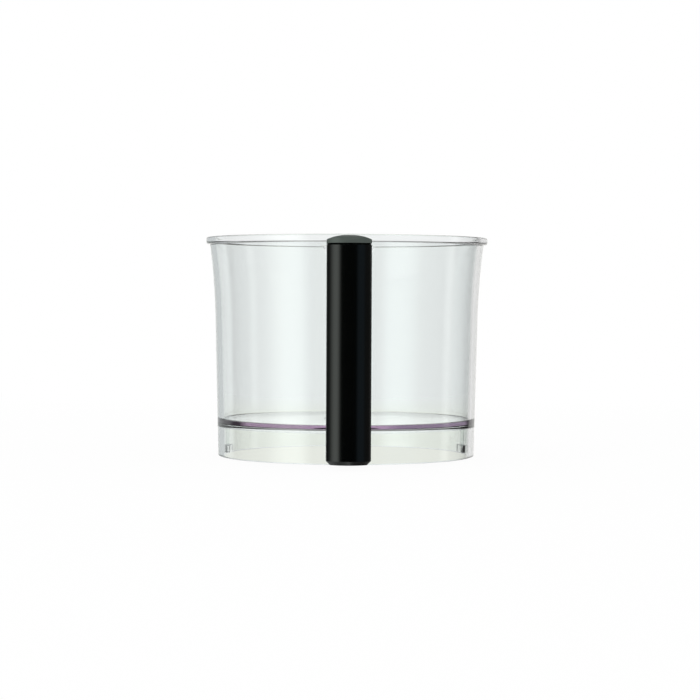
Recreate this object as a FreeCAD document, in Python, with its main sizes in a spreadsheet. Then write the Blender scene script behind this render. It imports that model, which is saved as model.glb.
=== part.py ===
import FreeCAD, Part
import os
import re
import Sketcher
from FreeCAD import Placement, Rotation, Vector

doc = FreeCAD.newDocument("FoodProcessorBowl")

# Driving dimensions in millimetres. Radii and reaches are measured from the bowl's axis,
# heights from the plane that the skirt stands on. The handle reaches toward -Y.
driving = {
    # Bowl wall and rim, each step measured from the one before
    "skirtRadius": 89.4,
    "waistFlare": 2.2,
    "neckFlare": 3.9,
    "beadReach": 2.6,
    "rimHeight": 151.4,
    "flareDrop": 56.4,
    "beadHeight": 4.9,
    "beadRound": 0.9,
    "beadUnder": 2.0,
    "wallThick": 4.2,
    "seatWall": 3.0,
    "seatDepth": 4.8,
    "seatLead": 0.4,
    "leadDrop": 2.3,
    "rimBreak": 0.6,
    # Floor and drive shaft tube
    "floorBase": 23.2,
    "floorThick": 2.5,
    "floorRound": 0.9,
    "baseRound": 3.0,
    "boreRadius": 9.5,
    "tubeWall": 3.0,
    "tubeRise": 34.3,
    "tubeDraft": 0.6,
    "tubeRound": 10.0,
    "collarDrop": 6.0,
    # Bayonet lugs inside the skirt
    "lugWidth": 15.0,
    "lugDepth": 4.0,
    "lugHeight": 5.2,
    "lugRise": 1.5,
    "ribThick": 1.4,
    "ribDepth": 2.6,
    # Brackets that carry the handle
    "gussetSink": 0.4,
    "gussetDeep": 13.6,
    "gussetHalf": 18.2,
    "gussetNarrow": 10.6,
    "gussetStand": 5.9,
    "gussetDraft": 4.5,
    "tongueBack": 6.0,
    "tongueThick": 9.25,
    "tongueWall": 3.0,
    "coreDepth": 11.0,
    # Handle shells
    "handleWidth": 28.8,
    "fingerRoom": 26.4,
    "backDepth": 10.0,
    "frontDepth": 10.0,
    "handleFoot": 3.4,
    "capDrop": 6.9,
    "lowArmDeep": 24.6,
    "highArmDeep": 26.5,
    "gapRound": 8.0,
    "shellWall": 2.5,
    "armFloor": 5.0,
    "fitGap": 0.25,
    "wallGap": 1.0,
    "cornerRound": 3.4,
    "innerRound": 1.5,
    "faceCrown": 6.4,
    "edgeRound": 3.0,
    "footBevel": 2.6,
    "topBevel": 1.2,
    # Handle top cap
    "capSide": 1.8,
    "capCrown": 3.4,
    "capNose": 0.7,
    "capNoseRun": 10.0,
    "capHollow": 2.5,
    "capGap": 0.8,
    "lipDrop": 2.0,
    "lipThick": 1.6,
    "slotWidth": 14.0,
    "slotLength": 3.6,
    "slotStand": 6.0,
    # Interlock push rod, its guides and its spring
    "rodRadius": 3.0,
    "rodGap": 0.3,
    "rodRise": 5.1,
    "rodSink": 2.5,
    "rodBevel": 0.8,
    "headThick": 3.0,
    "headHalf": 7.0,
    "headLead": 3.5,
    "headTail": 3.5,
    "guideThick": 2.5,
    "guideLowRise": 5.6,
    "guideHighDrop": 4.0,
    "shelfDrop": 10.5,
    "springLength": 26.0,
    "springGap": 1.1,
    "wireRadius": 0.45,
    "springTurns": 6.0,
    "collarLap": 0.65,
    "collarThick": 2.2,
    "portRadius": 5.0,
    # Bracket screws, driven upward
    "screwRadius": 1.75,
    "screwHead": 3.5,
    "screwHeadThick": 2.2,
    "screwLength": 10.0,
    "highScrewStand": 8.0,
    "lowScrewStand": 14.6,
    # Grip screws, driven from the finger side into the front shell
    "gripScrewRadius": 1.4,
    "gripScrewHead": 2.8,
    "gripScrewHeadThick": 1.8,
    "gripScrewLength": 12.0,
    "gripScrewRise": 12.0,
    "bossRadius": 3.8,
    "bossGap": 0.15,
    "screwGap": 0.2,
    "pilotSpare": 1.0,
    "sinkDepth": 3.4,
}

# Places worked out from the driving dimensions
worked = {
    "waistRadius": "skirtRadius + waistFlare",
    "neckRadius": "waistRadius + neckFlare",
    "rimRadius": "neckRadius + beadReach",
    "seatRadius": "neckRadius - seatWall",
    "flareStart": "rimHeight - flareDrop",
    "beadBase": "rimHeight - beadHeight",
    "ledge": "rimHeight - seatDepth",
    "ledgeInside": "neckRadius - wallThick + seatLead",
    "leadFoot": "ledge - leadDrop",
    "floorTop": "floorBase + floorThick",
    "tubeRadius": "boreRadius + tubeWall",
    "tubeTop": "floorTop + tubeRise",
    "wallSlope": "waistFlare / flareStart",
    "skirtRoot": "skirtRadius - wallThick / 2",
    "neckRoot": "neckRadius - 0.8 * wallThick",
    "handleTop": "rimHeight - capDrop",
    "gussetTop": "handleTop - gussetSink",
    "gussetFoot": "gussetTop - gussetDeep",
    "underGusset": "gussetFoot - fitGap",
    "gussetReach": "rimRadius + gussetStand",
    "armEnd": "gussetReach + fitGap",
    "gapFloor": "handleFoot + lowArmDeep",
    "gapRoof": "handleTop - highArmDeep",
    "footInside": "handleFoot + armFloor",
    "roofInside": "gapRoof + armFloor",
    "gripBack": "waistRadius + fingerRoom",
    "parting": "gripBack + backDepth",
    "handleReach": "parting + frontDepth",
    "tongueReach": "parting - tongueBack",
    "tongueTop": "roofInside + fitGap + tongueThick",
    "halfWidth": "handleWidth / 2",
    "innerHalf": "halfWidth - shellWall",
    "tongueHalf": "innerHalf - fitGap",
    "slotReach": "gussetReach + slotStand",
    "rodTip": "handleFoot + rodRise",
    "rodTop": "handleTop - rodSink",
    "stemTop": "rodTop - headThick",
    "headInner": "slotReach - headLead",
    "headOuter": "parting + headTail",
    "guideLow": "footInside + guideLowRise",
    "guideHigh": "gapRoof - guideHighDrop",
    "shelfTop": "(gapFloor + gapRoof) / 2 - shelfDrop",
    "collarFoot": "shelfTop + springLength",
    "collarTop": "collarFoot + collarThick",
    "stopFoot": "collarTop + rodGap",
    "springRadius": "rodRadius + springGap",
    "collarRadius": "springRadius + wireRadius + collarLap",
    "upperScrewReach": "gussetReach + highScrewStand",
    "lowerScrewReach": "skirtRadius + lowScrewStand",
    "gripScrewSide": "innerHalf - bossRadius - bossGap",
    "gripScrewHigh": "(stopFoot + guideThick + guideHigh) / 2",
    "gripScrewLow": "gapFloor + gripScrewRise",
    "capTop": "handleTop + capSide + capCrown",
}

sizes = doc.addObject("Spreadsheet::Sheet", "Sizes")
for row, (alias, number) in enumerate(driving.items(), start=1):
    sizes.set(f"A{row}", alias)
    sizes.set(f"B{row}", str(number))
    sizes.setAlias(f"B{row}", alias)
doc.recompute()

# Where the bayonet lugs stand round the skirt, in degrees from +X; the uneven spacing keys the bowl
lugAngles = (270, 6, 90, 178)


# Turns the names in an expression into cells of the sheet, through the worked-out places
def sized(text):
    def swapped(word):
        if word[0] in driving:
            return f"Sizes.{word[0]}"
        return f"({sized(worked[word[0]])})" if word[0] in worked else word[0]
    return re.sub(r"[A-Za-z]\w*", swapped, text)


def value(text):
    return float(sizes.evalExpression(sized(text)))


def newBody(name, x="0", y="0", z="0", turn=None):
    body = doc.addObject("PartDesign::Body", name)
    body.Label = name
    body.Placement = Placement(Vector(value(x), value(y), value(z)), turn or Rotation())
    for axis, text in zip("xyz", (x, y, z)):
        body.setExpression(f".Placement.Base.{axis}", sized(text))
    return body


def newSketch(body, name, plane, offset=None):
    sketch = body.newObject("Sketcher::SketchObject", name)
    support = [face for face in body.Origin.OriginFeatures if face.Role == plane][0]
    sketch.AttachmentSupport = [(support, "")]
    sketch.MapMode = "FlatFace"
    if offset:
        sketch.setExpression(".AttachmentOffset.Base.z", sized(offset))
    return sketch


# Ties a point of a sketch to its place, measured from the sketch's origin
def pin(sketch, side, end, spot):
    for kind, text in zip(("DistanceX", "DistanceY"), spot):
        number = sketch.addConstraint(Sketcher.Constraint(kind, -1, 1, side, end, value(text)))
        sketch.setExpression(f"Constraints[{number}]", sized(text))


# Closed outline through the corners; a bend makes the side after its corner an arc through a point
def drawOutline(sketch, corners, bends=None):
    bends = bends or {}
    spots = [Vector(value(x), value(y), 0) for x, y in corners]
    first = len(sketch.Geometry)
    starts = []
    for index, start in enumerate(spots):
        stop = spots[(index + 1) % len(spots)]
        if index in bends:
            middle = Vector(value(bends[index][0]), value(bends[index][1]), 0)
            side = sketch.addGeometry(Part.Arc(start, middle, stop), False)
        else:
            side = sketch.addGeometry(Part.LineSegment(start, stop), False)
        starts.append(1 if (sketch.getPoint(side, 1) - start).Length < 1e-6 else 2)
    for index, corner in enumerate(corners):
        before = (index - 1) % len(corners)
        joined = Sketcher.Constraint(
            "Coincident", first + before, 3 - starts[before], first + index, starts[index])
        sketch.addConstraint(joined)
        pin(sketch, first + index, starts[index], corner)
    for index, middle in bends.items():
        spot = sketch.addGeometry(Part.Point(Vector(value(middle[0]), value(middle[1]), 0)), True)
        pin(sketch, spot, 1, middle)
        sketch.addConstraint(Sketcher.Constraint("PointOnObject", spot, 1, first + index))


def drawCircle(sketch, x, y, radius):
    centre = Vector(value(x), value(y), 0)
    circle = sketch.addGeometry(Part.Circle(centre, Vector(0, 0, 1), value(radius)), False)
    pin(sketch, circle, 3, (x, y))
    number = sketch.addConstraint(Sketcher.Constraint("Radius", circle, value(radius)))
    sketch.setExpression(f"Constraints[{number}]", sized(radius))


def drawBlock(sketch, left, right, low, high):
    drawOutline(sketch, [(left, low), (right, low), (right, high), (left, high)])


# A block between two reaches from the axis, turned about it by an angle in degrees
def drawTurnedBlock(sketch, angle, inner, outer, half):
    along = (f"cos({angle} deg)", f"sin({angle} deg)")
    corners = []
    for reach, side in ((inner, "-1"), (outer, "-1"), (outer, "1"), (inner, "1")):
        corners.append((f"({reach}) * {along[0]} - {side} * ({half}) * {along[1]}",
                        f"({reach}) * {along[1]} + {side} * ({half}) * {along[0]}"))
    drawOutline(sketch, corners)


# Adds or cuts a prism on a sketch; volumes are compared, so a cut that points away is noticed
def extrude(body, kind, sketch, length, back=False, both=False, taper=None):
    doc.recompute()
    before = 0 if body.Shape.isNull() else body.Shape.Volume
    feature = body.newObject(f"PartDesign::{kind}", sketch.Name + kind)
    feature.Profile = sketch
    feature.setExpression("Length", sized(length))
    feature.Reversed = back
    if both:
        feature.SideType = "Symmetric"
    if taper:
        feature.setExpression("TaperAngle", sized(taper))
    sketch.Visibility = False
    doc.recompute()
    changed = body.Shape.Volume - before
    if (changed > 0) != (kind == "Pad"):
        raise ValueError(f"{feature.Name} changed the volume by {changed:.3f}")


def revolve(body, sketch):
    feature = body.newObject("PartDesign::Revolution", sketch.Name + "Turn")
    feature.Profile = sketch
    feature.ReferenceAxis = (sketch, ["V_Axis"])
    feature.Angle = 360
    sketch.Visibility = False
    doc.recompute()


# Rounds or bevels the edges that a test picks out on the body as it stands
def dress(body, kind, amount, wanted):
    doc.recompute()
    base = body.Tip
    names = [f"Edge{number}" for number, edge in enumerate(base.Shape.Edges, start=1) if wanted(edge)]
    feature = body.newObject(f"PartDesign::{kind}", f"{body.Name}{kind}{len(body.Group)}")
    feature.Base = (base, names)
    feature.setExpression("Radius" if kind == "Fillet" else "Size", sized(amount))
    doc.recompute()


def near(number, text):
    return abs(number - value(text)) < 0.01


# The clear bowl: wall, bead, lid ledge, floor and drive tube turned in one profile,
# then the bayonet lugs with their ribs, and the two brackets that hold the handle
def makeBowl():
    body = newBody("bowl")
    profile = newSketch(body, "BowlProfile", "XZ_Plane")
    flare = "(waistRadius + neckFlare / 4 + wallSlope * (beadBase - flareStart) / 4)"
    floorWall = "(skirtRadius - wallThick + wallSlope * floorTop)"
    baseWall = "(skirtRadius - wallThick + wallSlope * floorBase)"
    turn = "(1 - sqrt(0.5))"
    drawOutline(profile, [
        ("skirtRadius", "0"),
        ("waistRadius", "flareStart"),
        ("neckRadius", "beadBase"),
        ("rimRadius - beadUnder", "beadBase"),
        ("rimRadius", "beadBase + beadUnder"),
        ("rimRadius", "rimHeight - beadRound"),
        ("rimRadius - beadRound", "rimHeight"),
        ("seatRadius + rimBreak", "rimHeight"),
        ("seatRadius", "rimHeight - rimBreak"),
        ("seatRadius", "ledge"),
        ("ledgeInside", "ledge"),
        ("neckRadius - wallThick", "leadFoot"),
        ("waistRadius - wallThick", "flareStart"),
        (floorWall, "floorTop + floorRound"),
        (f"{floorWall} - floorRound", "floorTop"),
        ("tubeRadius + tubeRound", "floorTop"),
        ("tubeRadius", "floorTop + tubeRound"),
        ("tubeRadius - tubeDraft", "tubeTop"),
        ("boreRadius", "tubeTop"),
        ("boreRadius", "floorBase - collarDrop"),
        ("tubeRadius", "floorBase - collarDrop"),
        ("tubeRadius", "floorBase"),
        (f"{baseWall} - baseRound", "floorBase"),
        (baseWall, "floorBase - baseRound"),
        ("skirtRadius - wallThick", "0"),
    ], {
        1: (flare, "(flareStart + beadBase) / 2"),
        3: (f"rimRadius - beadUnder * {turn}", f"beadBase + beadUnder * {turn}"),
        5: (f"rimRadius - beadRound * {turn}", f"rimHeight - beadRound * {turn}"),
        11: (f"{flare} - wallThick", "(flareStart + leadFoot) / 2"),
        13: (f"{floorWall} - floorRound * {turn}", f"floorTop + floorRound * {turn}"),
        15: (f"tubeRadius + tubeRound * {turn}", f"floorTop + tubeRound * {turn}"),
        22: (f"{baseWall} - baseRound * {turn}", f"floorBase - baseRound * {turn}"),
    })
    revolve(body, profile)

    # Lugs and ribs start inside the wall, so that they melt into it
    lugs = newSketch(body, "Lugs", "XY_Plane", "lugRise")
    ribs = newSketch(body, "LugRibs", "XY_Plane", "lugRise")
    for angle in lugAngles:
        drawTurnedBlock(lugs, angle, "skirtRadius - wallThick - lugDepth", "skirtRoot", "lugWidth / 2")
        drawTurnedBlock(ribs, angle, "skirtRadius - wallThick - ribDepth", "skirtRoot", "ribThick / 2")
    extrude(body, "Pad", lugs, "lugHeight")
    extrude(body, "Pad", ribs, "floorBase + floorThick / 2 - lugRise")

    # Upper bracket: a gusset that narrows downward, and a tongue that the shells close round
    gusset = newSketch(body, "Gusset", "XZ_Plane", "neckRoot")
    drawOutline(gusset, [
        ("-gussetNarrow", "gussetFoot"),
        ("gussetNarrow", "gussetFoot"),
        ("gussetHalf", "gussetTop"),
        ("-gussetHalf", "gussetTop"),
    ])
    extrude(body, "Pad", gusset, "gussetReach - neckRoot", taper="-gussetDraft")
    upper = newSketch(body, "UpperTongue", "XZ_Plane", "neckRoot")
    drawBlock(upper, "-tongueHalf", "tongueHalf", "roofInside + fitGap", "tongueTop")
    extrude(body, "Pad", upper, "tongueReach - neckRoot")

    # Lower bracket: a tongue off the skirt, cored out in front of its screw
    lower = newSketch(body, "LowerTongue", "XZ_Plane", "skirtRoot")
    drawBlock(lower, "-tongueHalf", "tongueHalf", "footInside + fitGap", "gapFloor - shellWall - fitGap")
    extrude(body, "Pad", lower, "tongueReach - skirtRoot")
    core = newSketch(body, "TongueCore", "XZ_Plane", "tongueReach")
    drawBlock(core, "-(tongueHalf - tongueWall)", "tongueHalf - tongueWall",
              "footInside + fitGap + tongueWall", "gapFloor - shellWall - fitGap - tongueWall")
    extrude(body, "Pocket", core, "coreDepth")

    # Pilot holes that the bracket screws cut into
    for name, reach, start in (("UpperPilot", "upperScrewReach", "roofInside"),
                               ("LowerPilot", "lowerScrewReach", "footInside")):
        pilot = newSketch(body, name, "XY_Plane", start)
        drawCircle(pilot, "0", f"-{reach}", "screwRadius")
        extrude(body, "Pocket", pilot, "screwLength - armFloor / 2 + pilotSpare", back=True)
    return body


# Plan of the handle's front seen from above, with a crowned face; the inset is for the hollow
def drawNose(sketch, start, inset):
    side = f"(halfWidth - {inset})"
    shoulder = f"(handleReach - {inset} - faceCrown)"
    drawOutline(sketch, [
        (f"-{side}", f"-({start})"),
        (side, f"-({start})"),
        (side, f"-{shoulder}"),
        (f"-{side}", f"-{shoulder}"),
    ], {2: ("0", f"-(handleReach - {inset})")})


def roundNose(body, inset, radius):
    dress(body, "Fillet", radius, lambda edge: near(abs(edge.CenterOfMass.x), f"halfWidth - {inset}")
          and near(edge.CenterOfMass.y, f"-(handleReach - {inset} - faceCrown)"))


# Plates across the inside of a shell that guide the rod, seat the spring and stop the collar
def addGuides(body, low, lowest, nosed=False):
    for name, foot, start in (("LowGuide", "guideLow", lowest),
                              ("SpringShelf", "shelfTop - guideThick", low),
                              ("CollarStop", "stopFoot", low),
                              ("HighGuide", "guideHigh", low)):
        plate = newSketch(body, body.Name + name, "XY_Plane", foot)
        if nosed:
            drawNose(plate, start, "shellWall * 0.75")
        else:
            drawBlock(plate, "-(innerHalf + shellWall / 4)", "innerHalf + shellWall / 4",
                      "-parting", f"-({start})")
        extrude(body, "Pad", plate, "guideThick")


# The rod's running hole through the guides, and the wider port in the handle's foot
def boreRodWay(body):
    for name, radius, depth in (("RodWay", "rodRadius + rodGap", "handleTop - handleFoot"),
                                ("Port", "portRadius", "armFloor")):
        hole = newSketch(body, body.Name + name, "XY_Plane", "handleFoot")
        drawCircle(hole, "0", "-parting", radius)
        extrude(body, "Pocket", hole, depth, back=True)


gripScrews = (("gripScrewSide", "gripScrewHigh"), ("-gripScrewSide", "gripScrewLow"))


def drawGripCircles(body, name, offset, radius):
    sketch = newSketch(body, name, "XZ_Plane", offset)
    for x, z in gripScrews:
        drawCircle(sketch, x, z, radius)
    return sketch


def makeFrontShell():
    body = newBody("handle_front_shell")
    plan = newSketch(body, "FrontPlan", "XY_Plane", "handleFoot")
    drawNose(plan, "parting", "0")
    extrude(body, "Pad", plan, "handleTop - handleFoot")
    roundNose(body, "0", "cornerRound")
    for bevel, height in (("footBevel", "handleFoot"), ("topBevel", "handleTop")):
        dress(body, "Chamfer", bevel, lambda edge: all(
            near(v.Z, height) for v in edge.Vertexes) and not near(edge.CenterOfMass.y, "-parting"))
    hollow = newSketch(body, "FrontHollow", "XY_Plane", "footInside")
    drawNose(hollow, "parting", "shellWall")
    extrude(body, "Pocket", hollow, "handleTop - footInside", back=True)
    roundNose(body, "shellWall", "innerRound")
    addGuides(body, "parting", "parting", nosed=True)
    bosses = drawGripCircles(body, "FrontBosses", "parting", "bossRadius")
    extrude(body, "Pad", bosses, "frontDepth - faceCrown / 2 - shellWall / 2")
    boreRodWay(body)
    pilots = drawGripCircles(body, "FrontPilots", "parting", "gripScrewRadius")
    extrude(body, "Pocket", pilots, "sinkDepth + gripScrewLength - backDepth + pilotSpare / 2", back=True)
    return body


# The finger side: a C from the lower arm up the back of the grip to the upper arm
def makeBackShell():
    body = newBody("handle_back_shell")
    side = newSketch(body, "BackSide", "YZ_Plane")
    lowEnd = "(skirtRadius - wallThick)"
    highEnd = "(waistRadius - wallThick)"
    drawOutline(side, [
        ("-parting", "handleFoot"),
        (f"-{lowEnd}", "handleFoot"),
        (f"-{lowEnd}", "gapFloor"),
        ("-gripBack", "gapFloor"),
        ("-gripBack", "gapRoof"),
        (f"-{highEnd}", "gapRoof"),
        (f"-{highEnd}", "underGusset"),
        ("-armEnd", "underGusset"),
        ("-armEnd", "handleTop"),
        ("-parting", "handleTop"),
    ])
    extrude(body, "Pad", side, "handleWidth", both=True)
    dress(body, "Fillet", "gapRound", lambda edge: near(edge.CenterOfMass.y, "-gripBack")
          and abs(edge.CenterOfMass.x) < 0.01)
    dress(body, "Fillet", "edgeRound", isFingerEdge)
    for bevel, height in (("footBevel", "handleFoot"), ("topBevel", "handleTop")):
        dress(body, "Chamfer", bevel, lambda edge: all(
            near(v.Z, height) for v in edge.Vertexes) and abs(edge.CenterOfMass.x) > 1)
    hollow = newSketch(body, "BackHollow", "YZ_Plane")
    drawOutline(hollow, [
        ("-(parting + 1)", "footInside"),
        (f"-({lowEnd} - 1)", "footInside"),
        (f"-({lowEnd} - 1)", "gapFloor - shellWall"),
        ("-(gripBack + shellWall)", "gapFloor - shellWall"),
        ("-(gripBack + shellWall)", "roofInside"),
        (f"-({highEnd} - 1)", "roofInside"),
        (f"-({highEnd} - 1)", "handleTop + 1"),
        ("-(parting + 1)", "handleTop + 1"),
    ])
    extrude(body, "Pocket", hollow, "handleWidth - 2 * shellWall", both=True)
    addGuides(body, "gripBack + shellWall / 2", "tongueReach + fitGap")
    bosses = drawGripCircles(body, "BackBosses", "gripBack + shellWall / 2", "bossRadius")
    extrude(body, "Pad", bosses, "backDepth - shellWall / 2")
    boreRodWay(body)

    # Clearance holes and sunk seats for the grip screws
    for name, radius, depth in (("GripHoles", "gripScrewRadius + screwGap", "backDepth"),
                                ("GripSinks", "gripScrewHead + screwGap", "sinkDepth")):
        holes = drawGripCircles(body, name, "gripBack", radius)
        extrude(body, "Pocket", holes, depth, back=True)

    # The same for the bracket screws, from under each arm
    for name, reach, foot in (("Upper", "upperScrewReach", "gapRoof"),
                              ("Lower", "lowerScrewReach", "handleFoot")):
        for part, radius, depth in (("Hole", "screwRadius + screwGap", "armFloor"),
                                    ("Sink", "screwHead + screwGap", "armFloor / 2")):
            hole = newSketch(body, name + part, "XY_Plane", foot)
            drawCircle(hole, "0", f"-{reach}", radius)
            extrude(body, "Pocket", hole, depth, back=True)

    # Each arm ends in a curve that follows the bowl's wall
    for name, radius, foot, rise in (
            ("LowerRelief", "skirtRadius + wallSlope * gapFloor", "handleFoot - 1", "lowArmDeep + 2"),
            ("UpperRelief", "(waistRadius + neckRadius) / 2", "gapRoof - 1", "underGusset - gapRoof + 1")):
        relief = newSketch(body, name, "XY_Plane", foot)
        drawCircle(relief, "0", "0", f"{radius} + wallGap")
        extrude(body, "Pocket", relief, rise, back=True)
    return body


# The long edges round the finger gap, which the hand meets
def isFingerEdge(edge):
    middle = edge.valueAt((edge.FirstParameter + edge.LastParameter) / 2)
    inGap = value("gapFloor") - 0.01 < middle.z < value("gapRoof") + 0.01
    beforeGrip = middle.y > -value("gripBack") - 0.01
    onSide = all(near(abs(v.X), "halfWidth") for v in edge.Vertexes)
    return inGap and beforeGrip and onSide and not near(middle.x, "0") and not isArmEnd(edge)


def isArmEnd(edge):
    return any(all(near(v.Y, end) for v in edge.Vertexes) for end in (
        "-armEnd", "-(skirtRadius - wallThick)", "-(waistRadius - wallThick)"))


# Domed cap over both shells, with the slot that lets the lid's cam reach the rod's head
def makeTopCap():
    body = newBody("handle_top_cap")
    plan = newSketch(body, "CapPlan", "XY_Plane", "handleTop")
    drawNose(plan, "rimRadius + capGap", "0")
    extrude(body, "Pad", plan, "capSide + capCrown")
    roundNose(body, "0", "cornerRound")

    # Locating lip that drops inside the shells, hollow up into the dome
    lip = newSketch(body, "CapLip", "XY_Plane", "handleTop - lipDrop")
    lipEnd = "(handleReach - faceCrown - shellWall - fitGap)"
    drawBlock(lip, "-tongueHalf", "tongueHalf", f"-{lipEnd}", "-(armEnd + fitGap)")
    extrude(body, "Pad", lip, "lipDrop + capSide / 2")
    hollow = newSketch(body, "CapHollow", "XY_Plane", "handleTop - lipDrop")
    drawBlock(hollow, "-(tongueHalf - lipThick)", "tongueHalf - lipThick",
              f"-({lipEnd} - lipThick)", "-(armEnd + fitGap + lipThick)")
    extrude(body, "Pocket", hollow, "lipDrop + capHollow", back=True)

    # Dome across the width, and a nose that falls away toward the face
    crown = newSketch(body, "CapCrown", "XZ_Plane")
    drawOutline(crown, [
        ("-(halfWidth + 1)", "handleTop + capSide"),
        ("halfWidth + 1", "handleTop + capSide"),
        ("halfWidth + 1", "capTop + 1"),
        ("-(halfWidth + 1)", "capTop + 1"),
    ], {0: ("0", "capTop")})
    extrude(body, "Pocket", crown, "2 * handleReach + 10", both=True)
    nose = newSketch(body, "CapNose", "YZ_Plane")
    drawOutline(nose, [
        ("-(handleReach + 1)", "handleTop + capNose"),
        ("-(handleReach - capNoseRun)", "capTop"),
        ("-(handleReach - capNoseRun)", "capTop + 1"),
        ("-(handleReach + 1)", "capTop + 1"),
    ], {0: ("-(handleReach - capNoseRun * 0.3)",
            "handleTop + capNose + (capSide + capCrown - capNose) * 0.72")})
    extrude(body, "Pocket", nose, "handleWidth + 2", both=True)
    slot = newSketch(body, "CapSlot", "XY_Plane", "handleTop - lipDrop")
    drawBlock(slot, "-slotWidth / 2", "slotWidth / 2",
              "-(slotReach + slotLength / 2)", "-(slotReach - slotLength / 2)")
    extrude(body, "Pocket", slot, "lipDrop + capSide + capCrown + 1", back=True)
    return body


# Push rod: stem with a spring collar, and a head plate that reaches under the cap's slot
def makePushRod():
    body = newBody("interlock_push_rod", y="-parting")
    stem = newSketch(body, "RodStem", "XZ_Plane")
    drawOutline(stem, [
        ("0", "rodTip"),
        ("rodRadius - rodBevel", "rodTip"),
        ("rodRadius", "rodTip + rodBevel"),
        ("rodRadius", "collarFoot"),
        ("collarRadius", "collarFoot"),
        ("collarRadius", "collarTop"),
        ("rodRadius", "collarTop"),
        ("rodRadius", "stemTop + headThick / 2"),
        ("0", "stemTop + headThick / 2"),
    ])
    revolve(body, stem)
    head = newSketch(body, "RodHead", "XY_Plane", "stemTop")
    drawBlock(head, "-headHalf", "headHalf", "-(headOuter - parting)", "parting - headInner")
    extrude(body, "Pad", head, "headThick")
    dress(body, "Fillet", "rodRadius / 2", lambda edge: near(abs(edge.CenterOfMass.x), "headHalf")
          and near(edge.CenterOfMass.z, "stemTop + headThick / 2"))
    return body


# Coil spring between the shelf and the rod's collar
def makeSpring():
    body = newBody("rod_return_spring", y="-parting", z="shelfTop + wireRadius")
    wire = newSketch(body, "SpringWire", "XZ_Plane")
    drawCircle(wire, "springRadius", "0", "wireRadius")
    doc.recompute()
    coil = body.newObject("PartDesign::AdditiveHelix", "SpringCoil")
    coil.Profile = wire
    coil.ReferenceAxis = (wire, ["V_Axis"])
    coil.Mode = "height-turns-growth"
    coil.setExpression("Height", sized("springLength - 2 * wireRadius"))
    coil.setExpression("Turns", sized("springTurns"))
    doc.recompute()
    return body


# Pan-head screw standing on its seat, head down, shank up
def makeScrew(name, prefix, x, y, z, turn=None):
    radius, head, thick, length = (prefix + word for word in ("Radius", "Head", "HeadThick", "Length"))
    body = newBody(name, x, y, z, turn)
    profile = newSketch(body, name + "Profile", "XZ_Plane")
    drawOutline(profile, [
        ("0", f"-{thick}"),
        (f"{head} * 0.6", f"-{thick}"),
        (head, f"-{thick} * 0.3"),
        (head, "0"),
        (radius, "0"),
        (radius, f"{length} - {radius}"),
        ("0", length),
    ], {1: (f"{head} * 0.9", f"-{thick} * 0.72")})
    revolve(body, profile)
    return body


bodies = [
    makeBowl(),
    makeFrontShell(),
    makeBackShell(),
    makeTopCap(),
    makePushRod(),
    makeSpring(),
    makeScrew("upper_bracket_screw", "screw", "0", "-upperScrewReach", "gapRoof + armFloor / 2"),
    makeScrew("lower_bracket_screw", "screw", "0", "-lowerScrewReach", "handleFoot + armFloor / 2"),
]
towardFront = Rotation(Vector(1, 0, 0), 90)
for name, (side, height) in zip(("grip_screw_upper", "grip_screw_lower"), gripScrews):
    bodies.append(makeScrew(name, "gripScrew", side, "-(gripBack + sinkDepth)", height, towardFront))

doc.recompute()
failed = [item.Name for item in doc.Objects if {"Invalid", "Error"} & set(item.State)]
broken = [body.Label for body in bodies if body.Shape.isNull() or not body.Shape.isValid()]
if failed or broken:
    raise RuntimeError(f"not built: {failed} {broken}")

os.makedirs("parts", exist_ok=True)
for body in bodies:
    body.Shape.exportStep(f"parts/{body.Label}.step")
    print(body.Label, len(body.Shape.Solids), round(body.Shape.Volume, 1))
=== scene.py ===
import math

import bmesh
import bpy
from mathutils import Matrix, Vector


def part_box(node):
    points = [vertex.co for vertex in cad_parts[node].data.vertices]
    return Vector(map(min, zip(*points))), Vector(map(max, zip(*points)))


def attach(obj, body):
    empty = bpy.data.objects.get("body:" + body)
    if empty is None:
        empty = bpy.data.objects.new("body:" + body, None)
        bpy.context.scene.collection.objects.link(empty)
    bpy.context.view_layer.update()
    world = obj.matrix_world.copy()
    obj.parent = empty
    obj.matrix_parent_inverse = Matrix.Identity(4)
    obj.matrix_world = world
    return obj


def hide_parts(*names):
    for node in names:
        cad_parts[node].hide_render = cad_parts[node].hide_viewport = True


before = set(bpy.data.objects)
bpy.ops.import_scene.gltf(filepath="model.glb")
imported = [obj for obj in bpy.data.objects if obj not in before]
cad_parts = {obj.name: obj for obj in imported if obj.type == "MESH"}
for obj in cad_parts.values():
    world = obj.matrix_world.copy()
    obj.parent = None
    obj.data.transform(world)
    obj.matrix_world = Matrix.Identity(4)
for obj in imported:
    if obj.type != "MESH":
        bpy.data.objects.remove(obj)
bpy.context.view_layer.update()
mm = 0.001
sharpAngle = math.radians(32)  # edges bent more than this stay crisp
print("frame loaded")


# A node with its inputs: a value sets a socket, another node's socket is linked to it
def addNode(tree, kind, inputs=None, **settings):
    made = tree.nodes.new(kind)
    for name, setting in settings.items():
        setattr(made, name, setting)
    for name, given in (inputs or {}).items():
        for one in given if isinstance(given, list) else [given]:
            if isinstance(one, bpy.types.NodeSocket):
                tree.links.new(one, made.inputs[name])
            else:
                made.inputs[name].default_value = one
    return made


def newTree(name, inputs):
    tree = bpy.data.node_groups.new(name, "GeometryNodeTree")
    tree.interface.new_socket("Geometry", in_out="OUTPUT", socket_type="NodeSocketGeometry")
    for label, kind in inputs.items():
        tree.interface.new_socket(label, in_out="INPUT", socket_type="NodeSocket" + kind)
    return tree, tree.nodes.new("NodeGroupInput").outputs


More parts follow.
